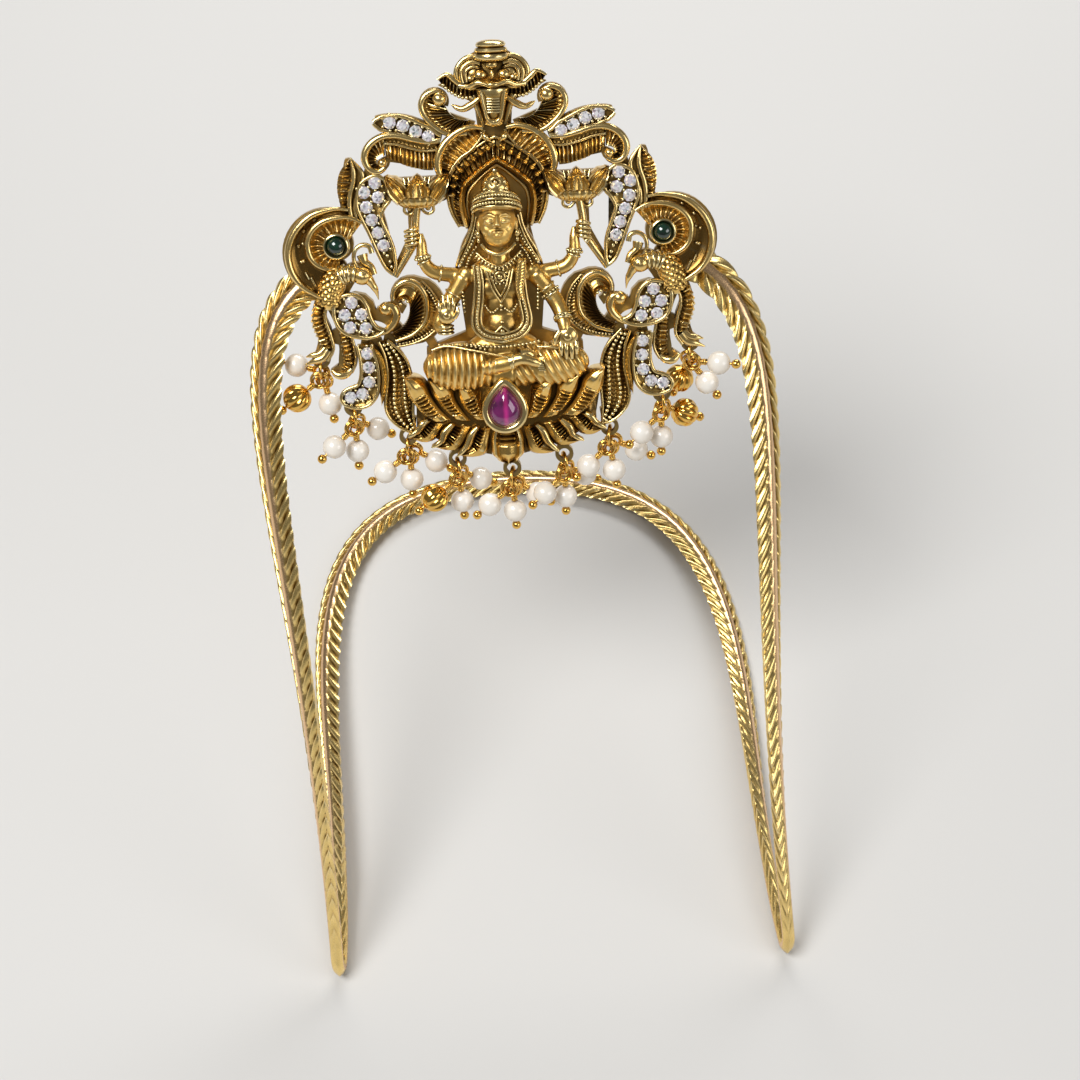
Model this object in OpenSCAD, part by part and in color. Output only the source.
/* [Band] */
// Height of the front arch along its own plane
front_rise = 104.4; // [102:0.2:106]
// Reach of the back arch over the surface it lies on
back_reach = 91; // [89:0.5:93]
// Half the distance between the two tips
foot_half = 32.4; // [32:0.1:33]
// Angle between the two arches
front_tilt = 47.5; // [46:0.5:49]
// How far the tips stand to the right of the plaque's middle
lean = 4.3; // [3.5:0.1:5]
// Width of the strip
strip_w = 5.2; // [4.8:0.1:5.6]
// Thickness of the strip at its spine
strip_t = 1.8; // [1.6:0.1:2.2]
// Width of the strip at the tips
tip_w = 2.4; // [2:0.1:2.6]
// Bend radius of the strip's middle line at the tips
tip_r = 1.6; // [1.5:0.1:2]
// Length of one herringbone leaf along the strip
leaf_pitch = 2.4; // [2.4:0.2:4]
// How far the spine runs ahead of the edges in one leaf
leaf_slant = 2; // [1:0.2:2.4]

/* [Plaque] */
// Angle of the plaque above the surface
plaque_tilt = 54.5; // [54:0.5:55]
// Distance of the plaque's zero line below the top of the front arch
plaque_drop = 17.9; // [17.5:0.1:18.5]
// Height of the plate's face over the middle of the strip
plaque_off = 1.25; // [1.25:0.05:1.5]
// Thickness of the openwork plate
plate_t = 1.4; // [1.2:0.1:1.6]
// Gap between pieces that lie on each other
seam = 0.1; // [0.05:0.05:0.15]
// Height of the leaf and scroll pieces over the plate
relief = 1.5; // [1.2:0.1:1.8]

/* [Stones and drops] */
// Diameter of a white stone
white_d = 1.65; // [1.5:0.05:1.7]
// Diameter of an emerald
emerald_d = 2.6; // [2.4:0.1:2.6]
// Height of the ruby
ruby_h = 5; // [4.6:0.1:5.2]
// Diameter of a pearl
pearl_d = 3.2; // [3:0.1:3.2]
// Diameter of a ribbed gold bead
bead_d = 4; // [3.6:0.1:4.2]
// Outer diameter of a jump ring
ring_d = 3.2; // [3.2:0.1:3.4]
// Outer diameter of the eye of a head pin
eye_d = 2.6; // [2.5:0.1:2.7]
// Angle at which the drops hang back from the plaque
hang_back = 15.5; // [14:0.5:17]

/* [Hidden] */
$fn = 24;

// Curves of half an arch in its own plane: foot, two handles, top
front_curve = [[foot_half, 0], [foot_half - 3, 88], [49, front_rise], [0, front_rise]];
back_curve = [[foot_half, 0], [foot_half - 5, 37], [47.5, back_reach], [0, back_reach]];
// Where the front strip ends behind the plaque's side, as a share of the curve
front_end = 0.8;
// Turn of the strip's face towards the outside: place along the half arch, degrees
front_turn = [[0, 90], [0.1, 82], [0.5, 52], [0.85, 28], [1, 8]];
back_turn = [[0, 90], [0.12, 80], [0.4, 46], [0.7, 18], [1, 2]];
// Length over which the strip widens, and over which its leaves fade in
widen_run = 12;
fade_run = 16;
tip_steps = 6;
tip_reach = tip_r / tan(front_tilt / 2);

// Centre line points and lists
function running(v) = [for (i = 0, s = 0; i <= len(v); s = s + (i < len(v) ? v[i] : 0), i = i + 1) s];
function bez(c, t) = pow(1 - t, 3) * c[0] + 3 * pow(1 - t, 2) * t * c[1]
  + 3 * (1 - t) * t * t * c[2] + pow(t, 3) * c[3];
function slope(c, t) = pow(1 - t, 2) * (c[1] - c[0]) + 2 * (1 - t) * t * (c[2] - c[1])
  + t * t * (c[3] - c[2]);
function measured(c, n = 80) = let(
    p = [for (i = [0:n]) bez(c, i / n)],
    s = running([for (i = [0:n - 1]) norm(p[i + 1] - p[i])]))
  [for (i = [0:n]) [s[i], i / n, p[i][1]]];
function pairs(rows, a, b) = [for (r = rows) [r[a], r[b]]];
function unit(v) = v / norm(v);
function mix(a, b, k) = a + (b - a) * k;

// Section of the strip: across, out. A crest is 1 and a groove is 0
function section(w, fade, crest) = let(
    mid = mix(0.36, crest ? 0.44 : 0.26, fade) * strip_t,
    edge = w / 2 + fade * (crest ? 0.2 : -0.15))
  [[0, strip_t / 2], [w / 4, mid], [edge, 0], [w / 4, -mid],
   [0, -strip_t / 2], [-w / 4, -mid], [-edge, 0], [-w / 4, mid]];
ahead = [1, 0.5, 0, 0.5, 1, 0.5, 0, 0.5];

// One ring of the strip: middle point, direction, face normal
function ring(mid, along, face, w, fade, crest) = let(
    side = cross(along, face), s = section(w, fade, crest))
  [for (j = [0:7]) mid + side * s[j][0] + face * s[j][1] + along * ahead[j] * leaf_slant * fade];
function lift(along, face, w, fade) = let(side = cross(along, face), s = section(w, fade, true))
  max([for (p = s) -(side[2] * p[0] + face[2] * p[1])]);

// Rings of half an arch. side is 1 right and -1 left, flow is 1 from the tip upwards
function half_arch(c, tilt, side, flow, last = 0) = let(
    rows = measured(c), s_of_t = pairs(rows, 0, 1),
    s0 = lookup(tip_reach, pairs(rows, 2, 0)), s1 = lookup(tilt > 0 ? front_end : 1, pairs(rows, 1, 0)),
    n = 2 * round((s1 - s0) / leaf_pitch), top = c[3][1],
    up = [0, cos(tilt), sin(tilt)], out = [0, -sin(tilt), cos(tilt)])
  [for (i = [0:n - 1 + last]) let(
      k = flow > 0 ? i / n : 1 - i / n, s = mix(s0, s1, k), t = lookup(s, s_of_t),
      p = bez(c, t), d = slope(c, t), w = mix(tip_w, strip_w, min(1, (s - s0) / widen_run)),
      fade = min(1, (s - s0) / fade_run),
      along = unit(flow * ([side * d[0] - lean * d[1] / top, 0, 0] + d[1] * up)),
      away = unit(cross(along, out)) * (tilt > 0 ? 1 : -1),
      turn = lookup(k, tilt > 0 ? front_turn : back_turn), face = unit(cos(turn) * out + sin(turn) * away),
      rise = tilt > 0 ? tip_w / 2 : lift(along, face, w, fade),
      mid = [side * p[0] + lean * (1 - p[1] / top), 0, rise] + p[1] * up)
    ring(mid, along, face, w, fade, i % 2 == 0)];

// Rings round a tip, from the front leg to the back leg on the left and back again on the right
function tip_turn(side) = let(
    front = measured(front_curve), back = measured(back_curve),
    xf = bez(front_curve, lookup(tip_reach, pairs(front, 2, 1)))[0],
    xb = bez(back_curve, lookup(tip_reach, pairs(back, 2, 1)))[0],
    sweep = 180 - front_tilt)
  [for (i = [0:tip_steps - 1]) let(
      k = side < 0 ? i / tip_steps : 1 - i / tip_steps, a = 90 + front_tilt + k * sweep,
      x = side * mix(xf, xb, k) + lean * (1 - tip_reach / mix(front_rise, back_reach, k)),
      along = -side * [0, -sin(a), cos(a)])
    ring([x, tip_reach + tip_r * cos(a), tip_w / 2 + tip_r + tip_r * sin(a)],
      along, [side, 0, 0], tip_w, 0, true)];

band_rings = concat(
  half_arch(front_curve, front_tilt, -1, -1), tip_turn(-1),
  half_arch(back_curve, 0, -1, 1), half_arch(back_curve, 0, 1, -1),
  tip_turn(1), half_arch(front_curve, front_tilt, 1, 1, 1));
band_points = [for (r = band_rings) for (p = r) p];
xs = [for (p = band_points) p[0]];
ys = [for (p = band_points) p[1]];
middle = [(min(xs) + max(xs)) / 2, (min(ys) + max(ys)) / 2];

// Plane outlines
function arc(c, r, a0, a1, n = 12) = [for (i = [0:n]) let(a = mix(a0, a1, i / n)) c + r * [cos(a), sin(a)]];
function curl(c, r0, r1, a0, a1, n = 14) =
  [for (i = [0:n]) let(a = mix(a0, a1, i / n)) c + mix(r0, r1, i / n) * [cos(a), sin(a)]];
function flow(p, n = 4) = let(m = len(p) - 1) concat(
  [for (i = [0:m - 1]) for (j = [0:n - 1]) let(
      a = p[max(i - 1, 0)], b = p[i], c = p[i + 1], d = p[min(i + 2, m)], t = j / n)
    0.5 * (2 * b + (c - a) * t + (2 * a - 5 * b + 4 * c - d) * t * t + (3 * b - a - 3 * c + d) * t * t * t)],
  [p[m]]);
function swell(w, k) = pow(1 - k, 2) * w[0] + 2 * k * (1 - k) * w[1] + k * k * w[2];
function ribbon(p, w) = let(
    n = len(p) - 1,
    side = [for (i = [0:n]) let(t = unit(p[min(i + 1, n)] - p[max(i - 1, 0)]), h = swell(w, i / n))
      [p[i] + h * [-t[1], t[0]], p[i] - h * [-t[1], t[0]]]])
  concat([for (s = side) s[0]], [for (i = [n:-1:0]) side[i][1]]);

// Places on the plaque in its own plane, for the right half
moon = [22.7, 17.3];
emerald_at = [21.5, 18.5];
ruby_at = [-0.4, -3.9];
bloom_at = [10.5, 25.4];
halo_at = [0, 25];

// Where the white stones sit, for the right half
wing_stones = [[8.6, 32.1], [10.2, 32.8], [11.8, 33.6], [13.5, 34.1]];
paisley_stones = [[15.9, 26.5], [17.4, 25.3], [15.6, 24.6], [17.2, 23.4], [16.6, 21.7],
  [15.9, 20], [15.3, 18.3]];
peacock_stones = [[20, 11], [21, 9.4], [18.8, 9.4], [20.4, 7.7], [18.3, 7.5]];
tail_stones = [[18.4, 4], [18.3, 2.1], [18.4, 0.1], [19.4, -1.5], [21, -1.9]];

// Centre lines and half widths of the flat leaves and scrolls, for the right half
rim_line = arc(moon, 5.4, -74, 100, 20);
dish_line = arc(moon - [0.5, -0.4], 4, -75, 105, 16);
flute_line = arc(emerald_at, 2.7, -85, 125, 16);
top_scroll = concat(flow([[7.8, 29.9], [9.5, 30.5], [12.5, 31.4], [15, 31.3]]), curl([15.1, 29.4], 1.9, 0.7, 75, -190));
top_leaf = flow([[8.3, 28.9], [9.6, 29], [11.5, 29.6], [14.2, 29.9]]);
wing_leaf = flow([[7, 31.8], [9, 32.4], [12, 33.6], [15.4, 34.3]]);
curl_leaf = concat(flow([[5, 33.2], [6.6, 33.4], [8.4, 34.6]]), curl([7.3, 36.1], 1.9, 0.9, -40, 190));
paisley_leaf = flow([[16.4, 26.9], [16.6, 24.8], [16.7, 22.6], [16, 20], [15.2, 17.6], [14.1, 14.4]]);
high_leaf = flow([[18.5, 21.5], [19.1, 23.2], [19.5, 25.4], [19.2, 27.4], [19.4, 29.5]]);
side_scroll = concat(curl([12.4, 10.8], 1.6, 2.3, -60, 125, 10), curl([12.3, 9.3], 3.8, 3.9, 125, 265, 12),
  [[14, 5.5], [16, 6]]);
outer_strap = flow([[24, 11.6], [24.6, 9], [23.9, 6.4], [24.6, 3.8]]);
inner_strap = concat(flow([[22.2, 7.2], [21.4, 5], [21.6, 3]]), curl([22.5, 2.2], 0.9, 0.6, 160, 330, 6));
tail_line = flow([[18.1, 5.4], [18.4, 3], [18.3, 0.6], [19.2, -1.4], [21.6, -2.2]]);
blade_line = flow([[17, 5.4], [16.4, 3.2], [16.2, 1], [16.4, -1.4], [15.2, -4.4], [13.4, -6.6]]);
dark_leaf = flow([[15.6, 4.6], [14.7, 2.2], [14.6, -0.6], [14.4, -3.4], [13.5, -6.2]]);
lotus_rod = [[11.3, 23.6], [11.4, 19.2], [14.1, 14.2]];

// Seat of each drop: across, up, turn of its jump ring
drop_seats = [[-24.7, 3.2, -10], [-20.9, -3.6, 10], [-13.7, -8, -10], [-7.2, -11.5, 10], [0.2, -13.2, -10],
  [7.4, -11.5, 10], [13.7, -8, -10], [20.9, -3.6, 10], [24.9, 3.2, -10]];
// Pins on a ring: place round the ring, tilt across, tilt back, neck length, 1 where a pearl is on it
pin_kinds = [
  [[-40, -54, -12, 0.2, 1], [0, 0, 0, 0.2, 1], [40, 54, 12, 0.2, 1]],
  [[-40, -60, -12, 0.2, 0], [0, 4, 0, 0.2, 1], [40, 56, 12, 0.2, 1]],
  [[-40, -54, -12, 0.2, 1], [0, 0, 0, 0.2, 1], [40, 60, 12, 0.2, 0]],
  [[-40, -52, -12, 0.2, 0], [0, 8, 0, 0.2, 1], [40, -98, 8, 0.2, 1]],
  [[40, -20, 12, 0.2, 0], [0, 36, 0, 0.2, 1], [-40, 92, -8, 0.2, 1]],
  [[-40, -50, -12, 0.2, 1], [0, 2, 0, 0.2, 1], [40, 50, 12, 0.2, 1]],
  [[-40, -44, -12, 0.2, 1], [0, 8, 0, 0.2, 1], [40, 60, 12, 0.2, 1]]];
drop_kinds = [3, 0, 0, 1, 5, 0, 6, 2, 4];
wire_ring = 0.45;
wire_pin = 0.4;
plate_grow = 0.1;
eyelet_r = 1.15;
eyelet_hole_r = 0.75;
ball_d = 1.3;
eyelet_bar = (eyelet_r + plate_grow + eyelet_hole_r) / 2;
ring_mid_r = (ring_d - wire_ring) / 2;
eye_mid_r = (eye_d - wire_pin) / 2;
bar_room = 0.74;
wire_room = 0.2;
ring_hang = ring_mid_r - wire_ring / 2 - bar_room;
eye_hang = eye_mid_r - wire_pin / 2 - wire_ring / 2 - wire_room;
wrap_len = 0.6;

antique = [0.72, 0.56, 0.26];
pale_gold = [0.85, 0.75, 0.42];
wire_gold = [0.86, 0.55, 0.16];
pearl_white = [0.93, 0.9, 0.84];
clear_stone = [0.88, 0.86, 0.93];

// Frames
module in_place() { translate([-middle[0], -middle[1], 0]) children(); }
module on_plaque(h = 0) {
  rise = front_rise - plaque_drop;
  in_place() translate([0, rise * cos(front_tilt), rise * sin(front_tilt) + tip_w / 2])
    rotate([plaque_tilt, 0, 0]) translate([0, 0, plaque_off + h]) children();
}
module on_side(side, h = 0) { on_plaque(h) mirror([side < 0 ? 1 : 0, 0, 0]) children(); }
module slab(h) { linear_extrude(h) children(); }
module strip(p, w) { polygon(ribbon(p, w)); }
module ball(at, r, n = 10) { translate(at) sphere(r, $fn = n); }
// Rounded rod through a row of balls: across, up, out, radius
module limb(rows, n = 10) {
  for (i = [0:len(rows) - 2]) hull() {
    ball([rows[i][0], rows[i][1], rows[i][2]], rows[i][3], n);
    ball([rows[i + 1][0], rows[i + 1][1], rows[i + 1][2]], rows[i + 1][3], n);
  }
}

module band() {
  n = len(band_rings);
  color(pale_gold) in_place() polyhedron(
    points = band_points,
    faces = concat(
      [[for (j = [0:7]) j]], [[for (j = [7:-1:0]) (n - 1) * 8 + j]],
      [for (i = [0:n - 2]) for (j = [0:7]) let(a = i * 8 + j, b = a + 8, c = (i + 1) * 8 + (j + 1) % 8, d = c - 8)
        each [[a, b, c], [a, c, d]]]),
    convexity = 10);
}

// Flat openwork that carries every piece of the plaque
module plate_half() {
  strip(rim_line, [0.5, 0.7, 0.5]);
  strip(dish_line, [0.9, 1.5, 0.9]);
  translate(emerald_at) circle(2.1);
  strip(flute_line, [0.6, 1.3, 0.6]);
  strip(top_scroll, [0.5, 0.6, 0.4]);
  strip(top_leaf, [1.2, 1.2, 0.8]);
  strip(wing_leaf, [0.4, 2.2, 0.5]);
  strip(curl_leaf, [0.6, 0.7, 0.5]);
  strip([[3, 32.6], [6, 34]], [1, 0.9, 0.8]);
  strip(paisley_leaf, [1.3, 2, 0.3]);
  strip(high_leaf, [1, 1.9, 0.2]);
  strip(side_scroll, [0.5, 1.1, 0.6]);
  strip(outer_strap, [0.7, 0.9, 0.8]);
  strip(inner_strap, [0.7, 0.8, 0.5]);
  strip(tail_line, [1, 1.4, 0.5]);
  strip(blade_line, [0.4, 0.7, 0.2]);
  strip(dark_leaf, [0.6, 2.5, 0.2]);
  strip(lotus_rod, [0.5, 0.5, 0.4]);
  strip(arc([19.6, 9.3], 1.2, 0, 360), [1.4, 1.4, 1.4]);
  strip(flow([[22.1, 11.4], [20.8, 13.6], [19.4, 14.9], [18, 14.6]]), [1.2, 1.1, 0.9]);
  translate(bloom_at) square([7.4, 2.6], center = true);
  translate([7.6, 25.2]) circle(1.6);
  strip(flow([[16.7, 25.8], [16.6, 27.8], [15.4, 28.8]]), [0.6, 0.6, 0.6]);
  strip(flow([[17, 9], [15.4, 8.2], [13.6, 6]]), [0.8, 0.7, 0.6]);
  strip(flow([[23.7, 11.8], [22.4, 9.4], [21.6, 7]]), [0.5, 0.6, 0.6]);
  strip([[18.4, 7], [17.4, 4.6]], [1, 1, 1]);
  strip([[10.6, 6.4], [9.4, 4]], [0.5, 0.5, 0.5]);
  strip([[23.9, 6.2], [22, 5.6]], [0.5, 0.5, 0.5]);
  strip([[8.7, 8.4], [7, 8]], [0.5, 0.5, 0.5]);
}
module plate_outline() {
  difference() {
    offset(delta = plate_grow) {
      plate_half();
      mirror([1, 0]) plate_half();
      translate(halo_at) circle(6.2, $fn = 48);
      polygon(mirrored(canopy_half));
      // Back of the figure and of its seat
      polygon([[-4, 20], [-5.6, 12], [-5, 6], [-10.4, 4], [-10.6, -1], [-12.4, -3], [-11.6, -7],
        [-6, -9.6], [0, -11], [6, -9.6], [11.6, -7], [12.4, -3], [10.6, -1], [10.4, 4], [5, 6], [5.6, 12], [4, 20]]);
      polygon([[-2, 32], [-2.4, 36], [-6.8, 38.4], [-4.4, 39.6], [-3.6, 41.4], [-1.6, 42.6], [1.6, 42.6],
        [3.6, 41.4], [4.4, 39.6], [6.8, 38.4], [2.4, 36], [2, 32]]);
      for (s = drop_seats) {
        translate([s[0], s[1]]) circle(eyelet_r);
        strip([[s[0], s[1]], [s[0] * 0.96, s[1] + 2.6]], [0.8, 0.7, 0.6]);
      }
    }
    for (s = drop_seats) translate([s[0], s[1]]) circle(eyelet_hole_r);
  }
}
// Solder pads on the back of the plate, over the two ends of the strip
pad_at = [21.6, 15.3];
pad_len = plaque_off - 0.85;
module plate() {
  color(antique) on_plaque(-plate_t) {
    linear_extrude(plate_t) plate_outline();
    for (s = [-1, 1]) translate([s * pad_at[0], pad_at[1], -pad_len]) cylinder(r = 1.2, h = pad_len + plate_t / 2);
  }
}

canopy_half = flow([[0, 33.1], [3.2, 32.6], [6, 31], [7.4, 28.4], [7, 26.6], [6.4, 25.4]]);
function mirrored(h) =
  concat(h, [for (i = [len(h) - 1:-1:0]) [-h[i][0], h[i][1]]]);

module canopy() {
  color(antique) on_plaque(seam) difference() {
    union() {
      slab(relief * 0.7) polygon(mirrored(canopy_half));
      for (s = [-1, 1]) mirror([s < 0 ? 1 : 0, 0])
        slab(relief) strip(flow([[0.6, 32.6], [3.4, 32.2], [5.8, 30.7], [6.9, 28.3], [6.6, 26.4]]), [0.3, 0.5, 0.4]);
    }
    translate([halo_at[0], halo_at[1], -1]) cylinder(r = 6.3 + seam, h = relief + 2);
    translate([0, 22, 0]) cube([20, 6.4, 10], center = true);
  }
}

// Rayed ring round the head with a roof-shaped rim
halo_rays = 24;
function halo_ring(r, depth) = [for (i = [0:halo_rays * 2 - 1]) let(a = i * 180 / halo_rays)
  halo_at + (r - (i % 2) * depth) * [cos(a), sin(a)]];
module halo() {
  color(antique) on_plaque(seam) {
    slab(relief) difference() {
      polygon(halo_ring(6.2, 0.5));
      translate(halo_at + [0, -1.2]) circle(4.1);
      translate([0, 17.4]) square([20, 5], center = true);
    }
    slab(relief + 0.9) {
      strip(flow([[0, 28.9], [2.2, 27.2], [4.3, 25.6], [4.7, 23.6], [4.4, 20.8]]), [0.4, 0.45, 0.4]);
      mirror([1, 0]) strip(flow([[0, 28.9], [2.2, 27.2], [4.3, 25.6], [4.7, 23.6], [4.4, 20.8]]), [0.4, 0.45, 0.4]);
    }
  }
}

module finial() {
  color(antique) on_plaque(seam) {
    // Ribbed knob on a short neck
    translate([0, 41.9, 2.15]) rotate([-90, 0, 0]) {
      for (i = [0:2]) translate([0, 0, i * 0.75]) cylinder(r = 2.1 - i * 0.15, h = 0.5);
      cylinder(r = 1.7, h = 2.1);
    }
    translate([0, 33.6, 2.05]) rotate([-90, 0, 0]) cylinder(r1 = 1.4, r2 = 2, h = 4.2);
    slab(1.6) {
      polygon([[-3.2, 37.4], [-4.6, 39.2], [-3.9, 41.2], [-1.6, 42.4], [1.6, 42.4], [3.9, 41.2], [4.6, 39.2], [3.2, 37.4]]);
      for (s = [0, 1]) mirror([s, 0]) {
        strip(flow([[0.4, 37.2], [2.6, 37.2], [5, 37.8], [7.3, 39.2]]), [0.8, 1.3, 0.2]);
        strip(flow([[1.4, 36.6], [3.4, 35.6], [5.4, 35.8]]), [0.8, 0.8, 0.2]);
      }
    }
    for (p = [[-1.9, 39.8], [0, 40.7], [1.9, 39.8]]) translate([p[0], p[1], 1.5]) sphere(0.95);
  }
}

module figure() {
  color(antique) on_plaque(seam + 1.25) {
    // Head, with a plain egg-shaped face, and the crown
    hull() { ball([0, 20.9, 2.6], 2.35, 12); ball([0, 18.9, 2.7], 1.75, 12); }
    hull() { ball([0, 20.4, 4.7], 0.35, 6); ball([0, 19.6, 5.05], 0.4, 6); }
    hull() { ball([0, 22.4, 2.3], 2.75, 12); ball([0, 23.4, 2.2], 2.3, 12); }
    hull() { ball([0, 23.4, 2.2], 2.1); ball([0, 26, 1.7], 0.6); }
    // Neck, chest, waist and hips
    limb([[0, 18.4, 1.9, 1.5], [0, 15.4, 1.7, 2.2]]);
    hull() { ball([-3.7, 14.2, 1.2], 1.6); ball([3.7, 14.2, 1.2], 1.6); ball([0, 13, 2.4], 1.8); ball([0, 8.6, 1.6], 2.7); }
    hull() { ball([0, 8.6, 1.6], 2.9); ball([-2.6, 4, 1.4], 2.4); ball([2.6, 4, 1.4], 2.4); }
    for (s = [-1, 1]) {
      // Hair on the shoulders
      limb([[s * 2.6, 21.4, 1.4, 1.2], [s * 3.9, 17.4, 1.6, 1], [s * 5, 13.6, 1.9, 0.9]], 8);
      // Garland
      limb([[s * 3.2, 15, 3.2, 0.6], [s * 3.7, 11, 4, 0.6], [s * 3, 7.4, 4.2, 0.6], [0, 5.9, 4.5, 0.6]], 8);
      // Rear arm that holds a lotus stem
      limb([[s * 4.4, 14, 0.8, 1], [s * 8.9, 15.2, 1.2, 0.95], [s * 11.2, 18.4, 1, 0.8], [s * 11.4, 20.4, 0.9, 0.9]], 8);
    }
    // Raised palm and lowered palm
    limb([[-4.6, 13.8, 1.6, 1.4], [-8, 8, 2.2, 1.2], [-7.5, 9.6, 3.4, 1.1], [-7.3, 11.4, 3.7, 0.9]], 8);
    limb([[4.6, 13.8, 1.6, 1.4], [7.6, 9.2, 2.2, 1.2], [8.3, 6.4, 3.8, 1.1], [8.6, 4, 4, 0.9]], 8);
    // Crossed legs and the forward foot
    limb([[-3, 3.6, 1.4, 2.4], [-8.8, 2, 2.4, 1.8], [-1.6, 2.4, 3.4, 1.5], [3.6, 2, 4, 0.9]]);
    limb([[3, 3.6, 1.4, 2.4], [9, 1.9, 2.2, 1.8], [1.4, 2.3, 1.8, 1.5]]);
    // Root on the plate
    hull() { translate([-3, 2, -1.25]) cube([6, 12, 1]); ball([0, 9, 1], 2.4); }
  }
}

// Lotus seat: row, tip across, tip up, foot across, foot up
seat_petals = [
  [1, 13.1, 0.5, 8.6, -5.2], [1, 9.7, 0.1, 6.4, -5.6], [1, 6.1, -0.7, 4, -5.8],
  [2, 12.6, -7.4, 9.8, -4.8], [2, 9.9, -9.2, 7, -5.6], [2, 6.5, -10.4, 4, -6]];
module petal(tip, foot, h) {
  hull() {
    ball([foot[0], foot[1], h - 0.4], 1, 8);
    ball([mix(foot[0], tip[0], 0.45), mix(foot[1], tip[1], 0.38), h], 1.8, 8);
    ball([mix(foot[0], tip[0], 0.8), mix(foot[1], tip[1], 0.7), h + 0.4], 1.35, 8);
    ball([tip[0], tip[1], h + 0.4], 0.2, 5);
  }
}
module lotus_seat() {
  color(antique) on_plaque(seam + 0.6) {
    for (p = seat_petals) for (s = [-1, 1])
      petal([s * p[1], p[2]], [s * p[3], p[4]], p[0] == 1 ? 1.5 : 1);
    petal([0, -11.9], [0, -7.4], 1.2);
    hull() for (s = [-1, 1]) {
      ball([s * 9.6, -4.6, 0.4], 1);
      ball([s * 5, -6.6, 0.6], 1.2);
      ball([s * 3, -2.4, 0.6], 1.2);
    }
    hull() { translate([-7, -7.4, -0.6]) cube([14, 4, 0.6]); ball([0, -5.4, 0.4], 1); }
  }
}

module lotus_bloom(side) {
  color(antique) on_side(side, seam + 0.9) translate([bloom_at[0], bloom_at[1], 0]) {
    for (i = [-2:2]) hull() {
      ball([i * 0.75, -1.2, 0.3], 0.7, 6);
      ball([i * 1.2, 0.2, 0.7], 0.9, 6);
      ball([i * 1.55, 1.5 + (i == 0 ? 0.3 : 0), 0.4], 0.2, 5);
    }
    for (s = [-1, 1]) hull() { ball([0, -1.3, 0.2], 0.5, 6); ball([s * 2.8, -0.3, 0.2], 0.5, 6); }
    hull() { translate([-2, -0.9, -0.9]) cube([4, 1.6, 0.5]); ball([0, 0, 0.3], 0.6, 6); }
  }
}

module peacock(side) {
  color(antique) on_side(side, seam) {
    // Body with its pointed wing, a flat tray for the stones
    hull() {
      translate([20.2, 9.7, 0]) cylinder(r = 2.3, h = 1.5, $fn = 16);
      translate([18.6, 8.1, 0]) cylinder(r = 1.8, h = 1.5, $fn = 16);
    }
    hull() {
      translate([18.2, 7.9, 0]) cylinder(r = 1.6, h = 1.4, $fn = 12);
      translate([16.1, 7.7, 0]) cylinder(r = 0.6, h = 1.2, $fn = 12);
    }
    limb([[16.1, 7.7, 0.9, 0.6], [15.1, 8.6, 1, 0.6], [15.2, 9.8, 1, 0.8]], 8);
    // Tail straps
    slab(1.1) strip(outer_strap, [0.6, 0.7, 0.6]);
    slab(1.1) strip(inner_strap, [0.5, 0.6, 0.4]);
    slab(1) strip([[24.2, 10.4], [22, 10]], [0.6, 0.6, 0.6]);
    slab(1) strip([[22.2, 7.4], [20.6, 9]], [0.6, 0.6, 0.6]);
    // Neck, head, beak and crest
    limb([[22.2, 11.2, 1.1, 1.1], [21.5, 13, 1.4, 1.05], [20.2, 14.7, 1.6, 1], [18.3, 14.6, 1.8, 1.15]], 8);
    hull() { ball([17.7, 13.9, 1.8], 0.7, 8); ball([16.6, 11.6, 1.6], 0.2, 6); }
    limb([[18.3, 15.4, 1.7, 0.4], [17, 16, 1.6, 0.35], [17.4, 17.3, 1.5, 0.35], [18.6, 17, 1.5, 0.3]], 6);
    hull() { translate([20.8, 12.2, 0]) cylinder(r = 0.9, h = 1, $fn = 8); translate([19.3, 14.3, 0]) cylinder(r = 0.9, h = 1, $fn = 8); }
  }
}

module crescent(side) {
  color(antique) on_side(side, seam) {
    slab(0.5) strip(arc(moon, 4.2, -74, 100, 16), [1, 1.6, 1]);
    slab(1.1) strip(dish_line, [0.3, 0.7, 0.3]);
    slab(2) strip(rim_line, [0.3, 0.45, 0.3]);
    slab(1.7) strip(arc(emerald_at, 3.5, -85, 125, 16), [0.25, 0.35, 0.25]);
    slab(0.8) strip(flute_line, [0.3, 0.75, 0.3]);
  }
}

module leaf_scroll(side) {
  color(antique) on_side(side, seam) {
    slab(1) strip(top_leaf, [1, 1.1, 0.7]);
    slab(relief) strip(top_scroll, [0.4, 0.5, 0.35]);
    slab(1) strip(wing_leaf, [0.2, 1.9, 0.3]);
    slab(relief) strip(curl_leaf, [0.4, 0.55, 0.4]);
    translate([7.1, 36.2, 1]) sphere(0.85);
    slab(1) strip([[9.4, 30], [9.2, 31.8]], [0.6, 0.6, 0.6]);
    slab(1) strip([[8.2, 32], [7, 33.6]], [0.5, 0.5, 0.5]);
  }
}

module side_scroll(side) {
  color(antique) on_side(side, seam) {
    slab(1) strip(side_scroll, [0.4, 0.9, 0.4]);
    slab(relief) strip(side_scroll, [0.25, 0.35, 0.25]);
  }
}

module side_leaf(side) {
  color(antique) on_side(side, seam) {
    slab(1) strip(high_leaf, [0.6, 1.7, 0.15]);
    slab(1) strip(paisley_leaf, [1.1, 1.8, 0.2]);
    slab(1) strip([[18.9, 24.6], [17.2, 24.6]], [0.8, 0.8, 0.8]);
  }
}

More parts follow.
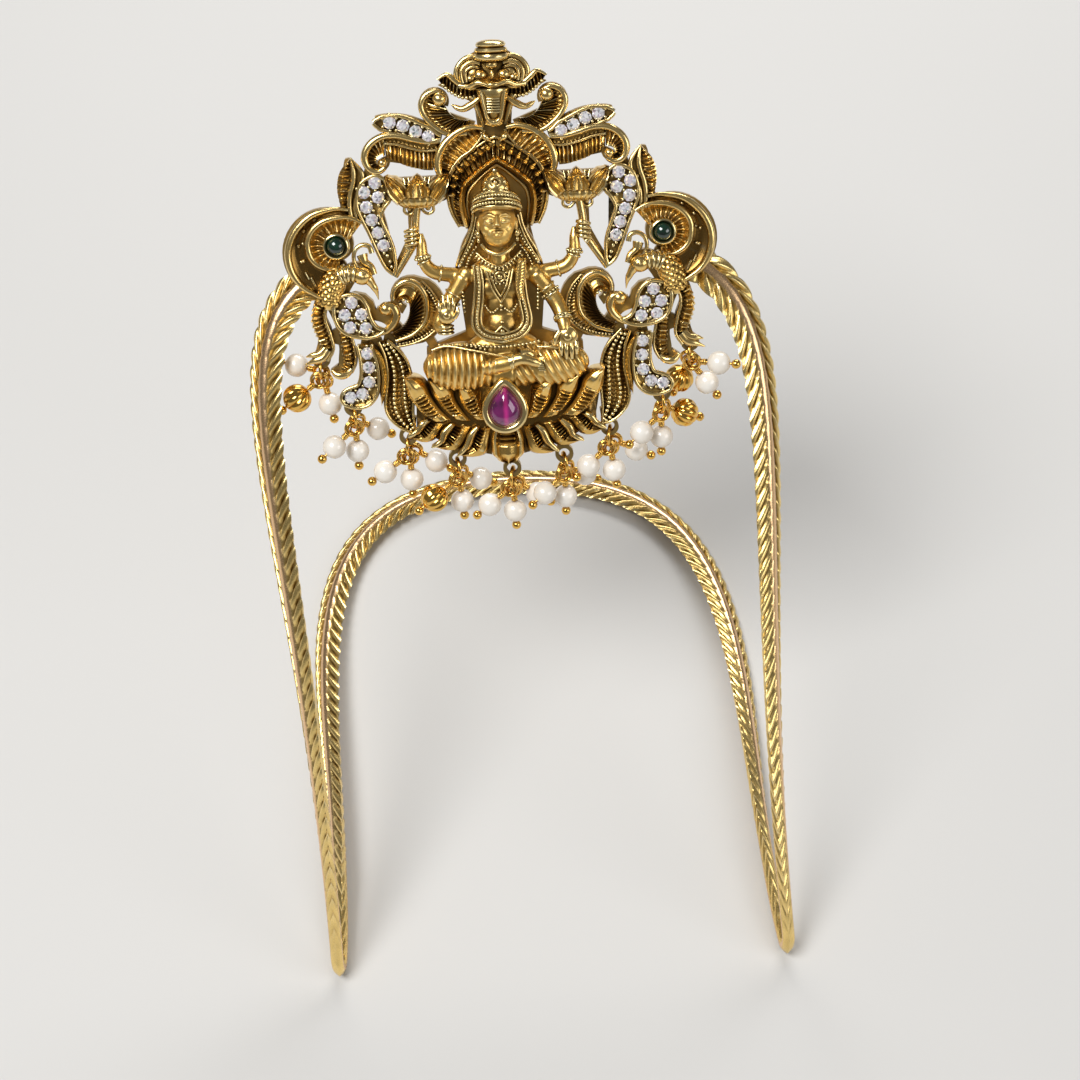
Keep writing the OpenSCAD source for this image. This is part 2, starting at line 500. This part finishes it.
module tail_leaf(side) {
  color(antique) on_side(side, seam) {
    slab(1) strip(tail_line, [0.9, 1.2, 0.4]);
    slab(relief) strip(blade_line, [0.25, 0.5, 0.15]);
    slab(1) strip(dark_leaf, [0.5, 2.2, 0.15]);
    slab(1) strip([[18, 3.4], [16.6, 3.2]], [0.6, 0.6, 0.6]);
  }
}

// Cut stones: a flat table, crown facets, a girdle and a pointed pavilion
module cut_stone(d) {
  r = d / 2;
  table = [for (i = [0:7]) [0.56 * r * cos(i * 45), 0.56 * r * sin(i * 45), 0.3 * d]];
  girdle = [for (i = [0:7]) [r * cos(i * 45 + 22.5), r * sin(i * 45 + 22.5), 0.12 * d]];
  polyhedron(
    points = concat(table, girdle, [[0, 0, -0.12 * d]]),
    faces = concat(
      [[for (i = [7:-1:0]) i]],
      [for (i = [0:7]) [i, (i + 1) % 8, 8 + i]],
      [for (i = [0:7]) [(i + 1) % 8, 8 + (i + 1) % 8, 8 + i]],
      [for (i = [0:7]) [8 + i, 8 + (i + 1) % 8, 16]]));
}
module stones(side, places, h) {
  color(clear_stone) on_side(side, h) for (p = places) translate([p[0], p[1], 0.12 * white_d]) cut_stone(white_d);
}

// Pear outline: round below, pointed above
pear_n = 16;
function pear(w, h) = [for (i = [0:pear_n - 1]) let(a = -90 + i * 360 / pear_n, up = max(0, sin(a)))
  [w / 2 * cos(a) * (1 - 0.55 * up * up), sin(a) < 0 ? w / 2 * sin(a) : (h - w / 2) * sin(a)]];
// Height of the seat's face and of the bezel's back over the plate
seat_front = 2.5;
ruby_back = 4.2;
module ruby_bezel() {
  color(antique) on_plaque(ruby_back) translate([ruby_at[0], ruby_at[1], 0]) {
    difference() {
      slab(1.3) polygon(pear(5.8, 7.3));
      translate([0, 0, 0.4]) slab(2) polygon(pear(4.4, 5.6));
    }
    translate([0, 0, seat_front + seam - ruby_back]) cylinder(r = 1.2, h = ruby_back - seat_front);
  }
}
module ruby() {
  color([0.55, 0.08, 0.3]) on_plaque(ruby_back + 0.5) translate([ruby_at[0], ruby_at[1], 0]) {
    low = pear(ruby_h * 0.82, ruby_h + 0.2);
    high = pear(ruby_h * 0.82, ruby_h + 0.2) * 0.55;
    polyhedron(
      points = concat([for (p = low) [p[0], p[1], 0]], [for (p = low) [p[0], p[1], 0.7]], [for (p = high) [p[0], p[1], 1.3]]),
      faces = concat(
        [[for (i = [0:pear_n - 1]) i]], [[for (i = [pear_n - 1:-1:0]) 2 * pear_n + i]],
        [for (k = [0, 1]) for (i = [0:pear_n - 1]) let(j = (i + 1) % pear_n)
          [k * pear_n + i, (k + 1) * pear_n + i, (k + 1) * pear_n + j, k * pear_n + j]]));
  }
}
module emerald_bezel(side) {
  color(antique) on_side(side, seam + 0.8) translate([emerald_at[0], emerald_at[1], 0]) difference() {
    cylinder(r = 1.75, h = 1.2);
    translate([0, 0, 0.3]) cylinder(r = emerald_d / 2 + 0.05, h = 2);
  }
}
module emerald(side) {
  color([0.03, 0.2, 0.12]) on_side(side, seam + 1.15) translate([emerald_at[0], emerald_at[1], 0])
    rotate_extrude() intersection() {
      translate([0, -0.6]) circle(2.1);
      square([emerald_d / 2, 3]);
    }
}

// Drops: an eyelet of the plate, a jump ring and three head pins with a pearl or a bead
module at_seat(i) {
  s = drop_seats[i];
  on_plaque(-plate_t / 2) translate([s[0], s[1] - eyelet_bar, 0]) rotate([hang_back, 0, 0])
    rotate([0, s[2], 0]) translate([0, -ring_hang, 0]) children();
}
module on_ring(pin) {
  rotate([pin[0], 0, 0]) translate([0, -ring_mid_r, 0]) rotate([-pin[0], 0, 0])
    rotate([pin[2], 0, pin[1]]) translate([0, -eye_hang, 0]) children();
}
module torus(mid_r, wire) { rotate_extrude() translate([mid_r, 0]) circle(wire / 2); }
module jump_rings() {
  color(wire_gold) for (i = [0:len(drop_seats) - 1]) at_seat(i) rotate([0, 90, 0]) torus(ring_mid_r, wire_ring);
}
function bead_mid(pin) = -eye_mid_r - wrap_len - pin[3] - (pin[4] > 0 ? pearl_d : bead_d) / 2 - 0.12;
module head_pin(pin) {
  d = pin[4] > 0 ? pearl_d : bead_d;
  foot = bead_mid(pin) - d / 2 - 0.1 - ball_d / 2;
  torus(eye_mid_r, wire_pin);
  translate([0, foot, 0]) rotate([-90, 0, 0]) cylinder(d = wire_pin, h = -eye_mid_r - foot);
  translate([0, -eye_mid_r - wire_pin / 2 - wrap_len + 0.15, 0]) rotate([-90, 0, 0]) cylinder(d = 0.9, h = wrap_len);
  translate([0, foot, 0]) sphere(d = ball_d);
}
module drop_pins(i) {
  color(wire_gold) at_seat(i) for (pin = pin_kinds[drop_kinds[i]]) on_ring(pin) head_pin(pin);
}
module drilled(d) {
  difference() {
    sphere(d = d);
    rotate([90, 0, 0]) cylinder(d = wire_pin + 0.2, h = d + 1, center = true);
  }
}
module drop_pearls(i) {
  color(pearl_white) at_seat(i) for (pin = pin_kinds[drop_kinds[i]]) if (pin[4] > 0)
    on_ring(pin) translate([0, bead_mid(pin), 0]) drilled(pearl_d);
}
module gold_beads() {
  color(wire_gold) for (i = [0:len(drop_seats) - 1]) at_seat(i)
    for (pin = pin_kinds[drop_kinds[i]]) if (pin[4] == 0)
      on_ring(pin) translate([0, bead_mid(pin), 0]) drilled(bead_d);
}

band();
plate();
halo();
canopy();
finial();
figure();
lotus_seat();
lotus_bloom(-1);  // lotus_bloom_left
lotus_bloom(1);  // lotus_bloom_right
peacock(-1);  // peacock_left
peacock(1);  // peacock_right
crescent(-1);  // crescent_left
crescent(1);  // crescent_right
leaf_scroll(-1);  // leaf_scroll_left
leaf_scroll(1);  // leaf_scroll_right
side_scroll(-1);  // side_scroll_left
side_scroll(1);  // side_scroll_right
side_leaf(-1);  // side_leaf_left
side_leaf(1);  // side_leaf_right
tail_leaf(-1);  // tail_leaf_left
tail_leaf(1);  // tail_leaf_right
ruby_bezel();
ruby();
emerald_bezel(-1);  // emerald_bezel_left
emerald_bezel(1);  // emerald_bezel_right
emerald(-1);  // emerald_left
emerald(1);  // emerald_right
stones(-1, wing_stones, seam + 1 + seam);  // wing_stones_left
stones(1, wing_stones, seam + 1 + seam);  // wing_stones_right
stones(-1, paisley_stones, seam + 1 + seam);  // paisley_stones_left
stones(1, paisley_stones, seam + 1 + seam);  // paisley_stones_right
stones(-1, peacock_stones, seam + 1.5 + seam);  // peacock_stones_left
stones(1, peacock_stones, seam + 1.5 + seam);  // peacock_stones_right
stones(-1, tail_stones, seam + 1 + seam);  // tail_stones_left
stones(1, tail_stones, seam + 1 + seam);  // tail_stones_right
jump_rings();
gold_beads();
for (i = [0:len(drop_seats) - 1]) {
  drop_pins(i);
  drop_pearls(i);
}
